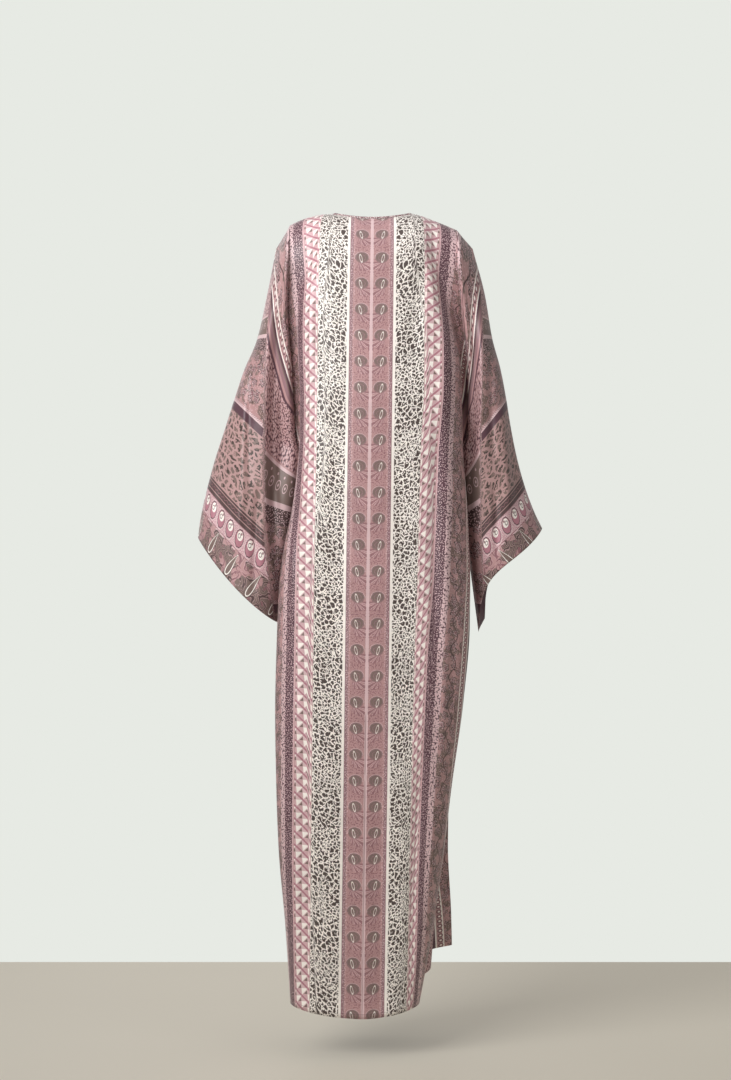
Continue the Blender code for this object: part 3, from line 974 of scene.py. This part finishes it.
def printed_satin(name, colours, settings):
    look, tree, shader = new_look(name)
    s, t = cloth_places(tree)
    paint = ground(s, colours)
    for layer in (
        leopard, paisley, pyramids, speckles, blossoms, small_chains, faded_spots, ovals, border,
    ):
        paint = layer(paint, s, t)
    stitch = satin_finish(tree, shader, s, t, settings.roughness, settings.sheen)
    shade = noise(s, t, 45, 3.0).scaled(0.30, 0.85)
    base = paint.over("plum", stitch.scaled(0.5))
    toned = add_node(tree, "HueSaturation", {"Color": base, "Value": shade})
    fill(shader, {"Base Color": toned.outputs["Color"]})
    return look


def plain_reverse(name, colours, settings):
    """The wrong side of the cloth, where the print shows through only faintly."""
    look, tree, shader = new_look(name)
    s, t = cloth_places(tree)
    stripes = s.swing(38).above(0.35).either(s.swing(61).above(0.6))
    base = Paint(tree, (*colours["reverse"], 1), colours).layers(
        ("plum", stripes.scaled(0.35)),
        ("taupe", noise(s, t, 9).above(0.56).scaled(0.25)),
    )
    satin_finish(tree, shader, s, t, settings.roughness + 0.12, settings.sheen)
    fill(shader, {"Base Color": base})
    return look


def binding_satin(name, colours, settings):
    look, tree, shader = new_look(name)
    s, t = cloth_places(tree)
    base = Paint(tree, (*colours["leaf"], 1), colours).layers(
        ("cream", cells(s, t, 2.6).below(0.30)),
        ("plum", noise(s, t, 7).above(0.55).scaled(0.6)),
    )
    weave = noise(s, t, 1.3).scaled(0.5) + s.cycle(3.2).below(0.5).scaled(-0.5)
    add_bump(tree, shader, weave, 0.5, 0.0004)
    fill(shader, {
        "Base Color": base, "Roughness": settings.roughness, "Sheen Weight": settings.sheen,
    })
    return look


def plain_look(name, colour, roughness, glow):
    look, tree, shader = new_look(name)
    places = tree.nodes.new("ShaderNodeTexCoord")
    grain = add_node(tree, "TexNoise", {"Vector": places.outputs["Object"], "Scale": 1.5})
    opaque = (*colour, 1)
    darker = {"darker": [0.93 * c for c in colour]}
    fill(shader, {
        "Base Color": Paint(tree, opaque, darker).over("darker", Term(tree, grain.outputs["Fac"])),
        "Roughness": roughness,
        "Emission Color": opaque,
        "Emission Strength": glow,
    })
    return look


def srgb(red, green, blue):
    """A colour as seen on screen, 0 to 255, as light."""
    seen = np.array([red, green, blue]) / 255
    return tuple(np.where(seen < 0.04045, seen / 12.92, ((seen + 0.055) / 1.055) ** 2.4).tolist())


def colour_property(name, description, *seen):
    return bpy.props.FloatVectorProperty(
        name=name, description=description, default=srgb(*seen), subtype="COLOR", min=0, max=1
    )


class KaftanColours(bpy.types.PropertyGroup):
    cream: colour_property("Cream", "Ground of the spotted stripes and the fine lines", 247, 239, 232)
    blush: colour_property("Blush", "Palest pink lines and dots", 214, 184, 186)
    pink: colour_property("Pink", "Ground of the pyramids and the narrow flowers", 206, 168, 172)
    rose: colour_property("Rose", "Ground of the paisley and the speckled stripe", 182, 142, 142)
    faded: colour_property("Faded rose", "Ground of the large soft spots", 182, 146, 144)
    bar: colour_property("Bar", "Slanting bars between the pyramids", 176, 120, 132)
    leaf: colour_property("Leaf", "Deep rose leaves and outlines", 142, 100, 106)
    mauve: colour_property("Mauve", "Narrow speckled borders", 148, 114, 120)
    plum: colour_property("Plum", "Dark speckled stripes", 92, 62, 72)
    taupe: colour_property("Taupe", "Domes, flowers and the outer border", 124, 104, 98)
    spot: colour_property("Spot", "Spots and the pyramids' shaded sides", 78, 65, 61)
    umber: colour_property("Umber", "Darkest stripes", 88, 68, 68)
    reverse: colour_property("Reverse", "Wrong side of the cloth", 104, 76, 84)
    wall: colour_property("Backdrop", "Pale light all round", 231, 234, 228)
    floor: colour_property("Floor", "Studio floor", 208, 201, 186)


def length_property(name, description, default, low, high):
    return bpy.props.FloatProperty(
        name=name, description=description, default=default, min=low, max=high,
        precision=4, subtype="DISTANCE", unit="LENGTH",
    )


class KaftanSizes(bpy.types.PropertyGroup):
    thickness: length_property("Cloth thickness", "Wall of the sheets as shown", 0.0008, 0.0002, 0.002)
    detail: bpy.props.IntProperty(
        name="Detail", description="Times finer than the solids' own grid", default=5, min=1, max=5
    )
    binding_width: length_property("Binding width", "Height of the neck binding", 0.006, 0.003, 0.012)
    binding_thickness: length_property(
        "Binding thickness", "Thickness of the neck binding", 0.0034, 0.0024, 0.005
    )
    roughness: bpy.props.FloatProperty(
        name="Roughness", description="How dull the satin is", default=0.38, min=0.2, max=0.9
    )
    sheen: bpy.props.FloatProperty(
        name="Sheen", description="Soft shine at the edges of folds", default=0.22, min=0, max=1
    )
    floor_drop: length_property("Floor drop", "Floor below the neck base", 1.584, 1.52, 1.8)


def chosen_colours(context):
    group = context.scene.kaftan_colours
    return {name: tuple(getattr(group, name)) for name in KaftanColours.__annotations__}


class KAFTAN_OT_panels(bpy.types.Operator):
    """Make the printed satin back and front, each with its half of both sleeves"""

    bl_idname = "kaftan.panels"
    bl_label = "Back and front"

    def execute(self, context):
        sizes = context.scene.kaftan_sizes
        colours = chosen_colours(context)
        wrong_side = plain_reverse("satin_reverse", colours, sizes)
        right_side = printed_satin("satin_print", colours, sizes)
        for face in FACES:
            blocks = []
            for side in SIDES:
                body = body_block(face, side, sizes.detail)
                sleeve = sleeve_block(face, side, body[:, -1], sizes.detail)
                places = body_print(face, side, body)
                blocks.append((creased(face, side, body), places, from_finished_edge(body)))
                places = sleeve_print(face, side, sleeve, places, sizes.detail)
                blocks.append((creased(face, side, sleeve, True), places, from_finished_edge(sleeve)))
            name = face + "_satin"
            piece = add_sheet(name, blocks, sizes.thickness, (right_side, wrong_side))
            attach(piece, "root")
            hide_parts(face)
        return {"FINISHED"}


class KAFTAN_OT_neck_binding(bpy.types.Operator):
    """Make the narrow satin band round the neck"""

    bl_idname = "kaftan.neck_binding"
    bl_label = "Neck binding"

    def execute(self, context):
        sizes = context.scene.kaftan_sizes
        edge, ahead, up = neck_route(BINDING_DETAIL)
        mitre = unit(up + np.roll(up, 1, 0))
        reach = 1 / (mitre * up).sum(1, keepdims=True)
        across = unit(np.cross(unit(ahead + np.roll(ahead, 1, 0)), mitre))
        middles = edge + mitre * reach * (sizes.binding_width / 2 + EDGE_GAP)
        rises = mitre * reach * sizes.binding_width / 2
        outs = across * sizes.binding_thickness / 2
        lengths = np.append(0, np.cumsum(np.linalg.norm(np.roll(middles, -1, 0) - middles, axis=1)))
        girths = sizes.binding_width * 2 / BINDING_SIDES * np.arange(BINDING_SIDES + 1)
        turns = np.linspace(0, 2 * np.pi, BINDING_SIDES + 1)[:, None]
        middles, rises, outs = (np.append(a, a[:1], 0)[:, None] for a in (middles, rises, outs))
        rings = middles + rises * np.cos(turns) + outs * np.sin(turns)
        mesh = bmesh.new()
        places = mesh.loops.layers.uv.new("cloth")
        add_grid(mesh, places, rings, np.stack(np.meshgrid(lengths, girths, indexing="ij"), -1))
        bmesh.ops.remove_doubles(mesh, verts=mesh.verts, dist=SAME_POINT)
        bmesh.ops.recalc_face_normals(mesh, faces=mesh.faces)
        look = binding_satin("satin_binding_look", chosen_colours(context), sizes)
        piece = add_piece("neck_binding_satin", mesh, [look])
        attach(piece, "root")
        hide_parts("neck_binding")
        return {"FINISHED"}


def add_floor(drop, colour):
    mesh = bmesh.new()
    bmesh.ops.create_grid(mesh, x_segments=1, y_segments=1, size=1)
    bmesh.ops.scale(mesh, verts=mesh.verts, vec=(FLOOR_HALF_WIDTH, (FLOOR_NEAR - FLOOR_FAR) / 2, 1))
    bmesh.ops.translate(mesh, verts=mesh.verts, vec=(0, (FLOOR_NEAR + FLOOR_FAR) / 2, -drop))
    add_piece("floor", mesh, [plain_look("floor_look", colour, FLOOR_ROUGHNESS, FLOOR_GLOW)])


def add_world(scene, wall):
    """The backdrop's colour where the camera sees it, and softer light of its own for the cloth."""
    world = bpy.data.worlds.new("studio")
    scene.world = world
    world.use_nodes = True
    tree = world.node_tree
    seen = fill(tree.nodes["Background"], {"Color": (*wall, 1)})
    lights = add_node(tree, "Background", {"Color": WORLD_COLOUR, "Strength": WORLD_STRENGTH})
    path = tree.nodes.new("ShaderNodeLightPath")
    either = {0: path.outputs["Is Camera Ray"], 1: lights.outputs[0], 2: seen.outputs[0]}
    mixed = add_node(tree, "MixShader", either)
    fill(tree.nodes["World Output"], {"Surface": mixed.outputs[0]})


def add_to_scene(scene, name, data, place, turn):
    thing = bpy.data.objects.new(name, data)
    thing.location = place
    thing.rotation_euler = turn
    scene.collection.objects.link(thing)
    return thing


class KAFTAN_OT_stage(bpy.types.Operator):
    """Make the plain studio: floor, soft lights and the camera behind the garment"""

    bl_idname = "kaftan.stage"
    bl_label = "Studio"

    def execute(self, context):
        scene = context.scene
        colours = chosen_colours(context)
        add_floor(scene.kaftan_sizes.floor_drop, colours["floor"])
        add_world(scene, colours["wall"])
        scene.view_settings.view_transform = "Standard"
        for name, place, aim, size, power, spread in LAMPS:
            lamp = bpy.data.lights.new(name, "AREA")
            lamp.shape = "RECTANGLE"
            lamp.size, lamp.size_y = size
            lamp.energy = power
            lamp.spread = np.radians(spread)
            turn = (Vector(aim) - Vector(place)).to_track_quat("-Z", "Y").to_euler()
            add_to_scene(scene, name, lamp, place, turn)
        view = bpy.data.cameras.new("camera")
        view.sensor_width = SENSOR_WIDTH
        view.lens = FOCAL_PIXELS * SENSOR_WIDTH / PHOTO_HEIGHT
        scene.camera = add_to_scene(scene, "camera", view, CAMERA_PLACE, CAMERA_TURN)
        return {"FINISHED"}


class KAFTAN_PT_sidebar(bpy.types.Panel):
    bl_idname = "KAFTAN_PT_sidebar"
    bl_label = "Kaftan"
    bl_space_type = "VIEW_3D"
    bl_region_type = "UI"
    bl_category = "Kaftan"

    def draw(self, context):
        for operator in OPERATORS:
            self.layout.operator(operator.bl_idname)
        for group in (context.scene.kaftan_sizes, context.scene.kaftan_colours):
            column = self.layout.column()
            for name in type(group).__annotations__:
                column.prop(group, name)


OPERATORS = (KAFTAN_OT_neck_binding, KAFTAN_OT_panels, KAFTAN_OT_stage)
CLASSES = (KaftanColours, KaftanSizes, *OPERATORS, KAFTAN_PT_sidebar)


def register():
    for cls in CLASSES:
        bpy.utils.register_class(cls)
    bpy.types.Scene.kaftan_colours = bpy.props.PointerProperty(type=KaftanColours)
    bpy.types.Scene.kaftan_sizes = bpy.props.PointerProperty(type=KaftanSizes)


def unregister():
    del bpy.types.Scene.kaftan_sizes
    del bpy.types.Scene.kaftan_colours
    for cls in reversed(CLASSES):
        bpy.utils.unregister_class(cls)


def main():
    register()
    bpy.ops.kaftan.neck_binding()
    bpy.ops.kaftan.panels()
    bpy.ops.kaftan.stage()


if __name__ == "__main__":
    main()
